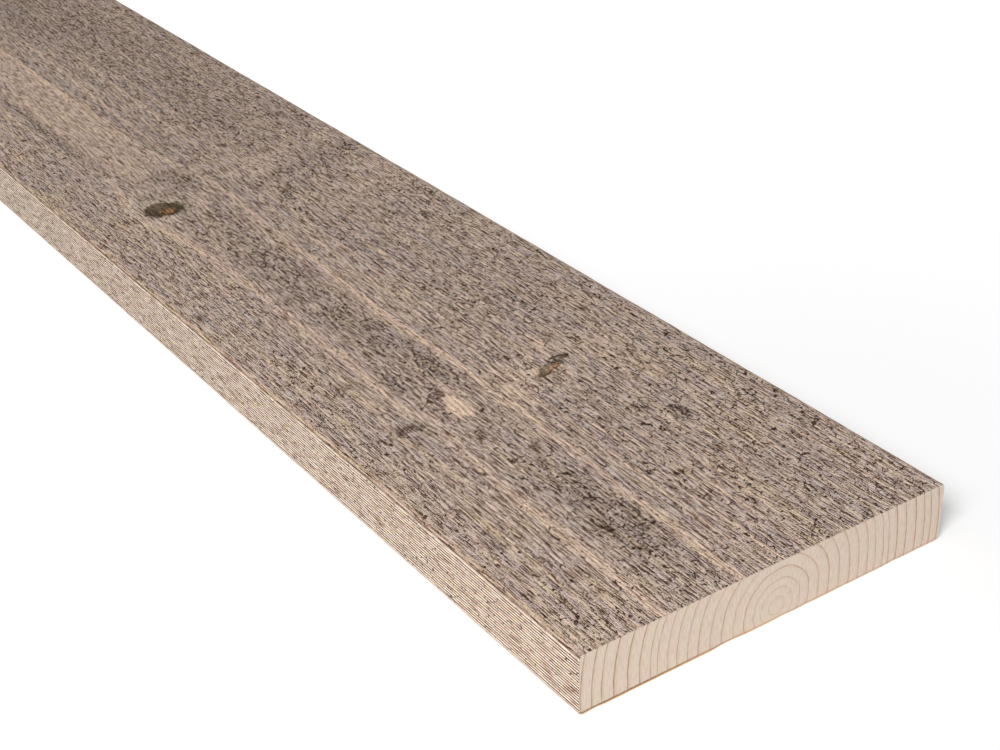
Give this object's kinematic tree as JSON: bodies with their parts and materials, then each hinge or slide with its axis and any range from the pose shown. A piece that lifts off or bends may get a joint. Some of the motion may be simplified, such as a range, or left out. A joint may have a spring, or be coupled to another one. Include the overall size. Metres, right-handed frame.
{
  "type": "cladding board",
  "caption": "Fine-sawn softwood cladding board: one flat rectangular piece with eased arrises, finely ribbed long edges and square-cut ends.",
  "frame": {"origin": "centre of the board's footprint, on the flat back that it lies on", "axes": "+X along the board, +Y across its width, +Z out of the weather face"},
  "size_m": [1.8, 0.148, 0.022],
  "materials": {
    "stained_softwood": "fine-sawn softwood with a thin grey-brown stain, bare on the crosscut ends"
  },
  "bodies": {
    "root": {"board": "stained_softwood"}
  },
  "joints": []
}
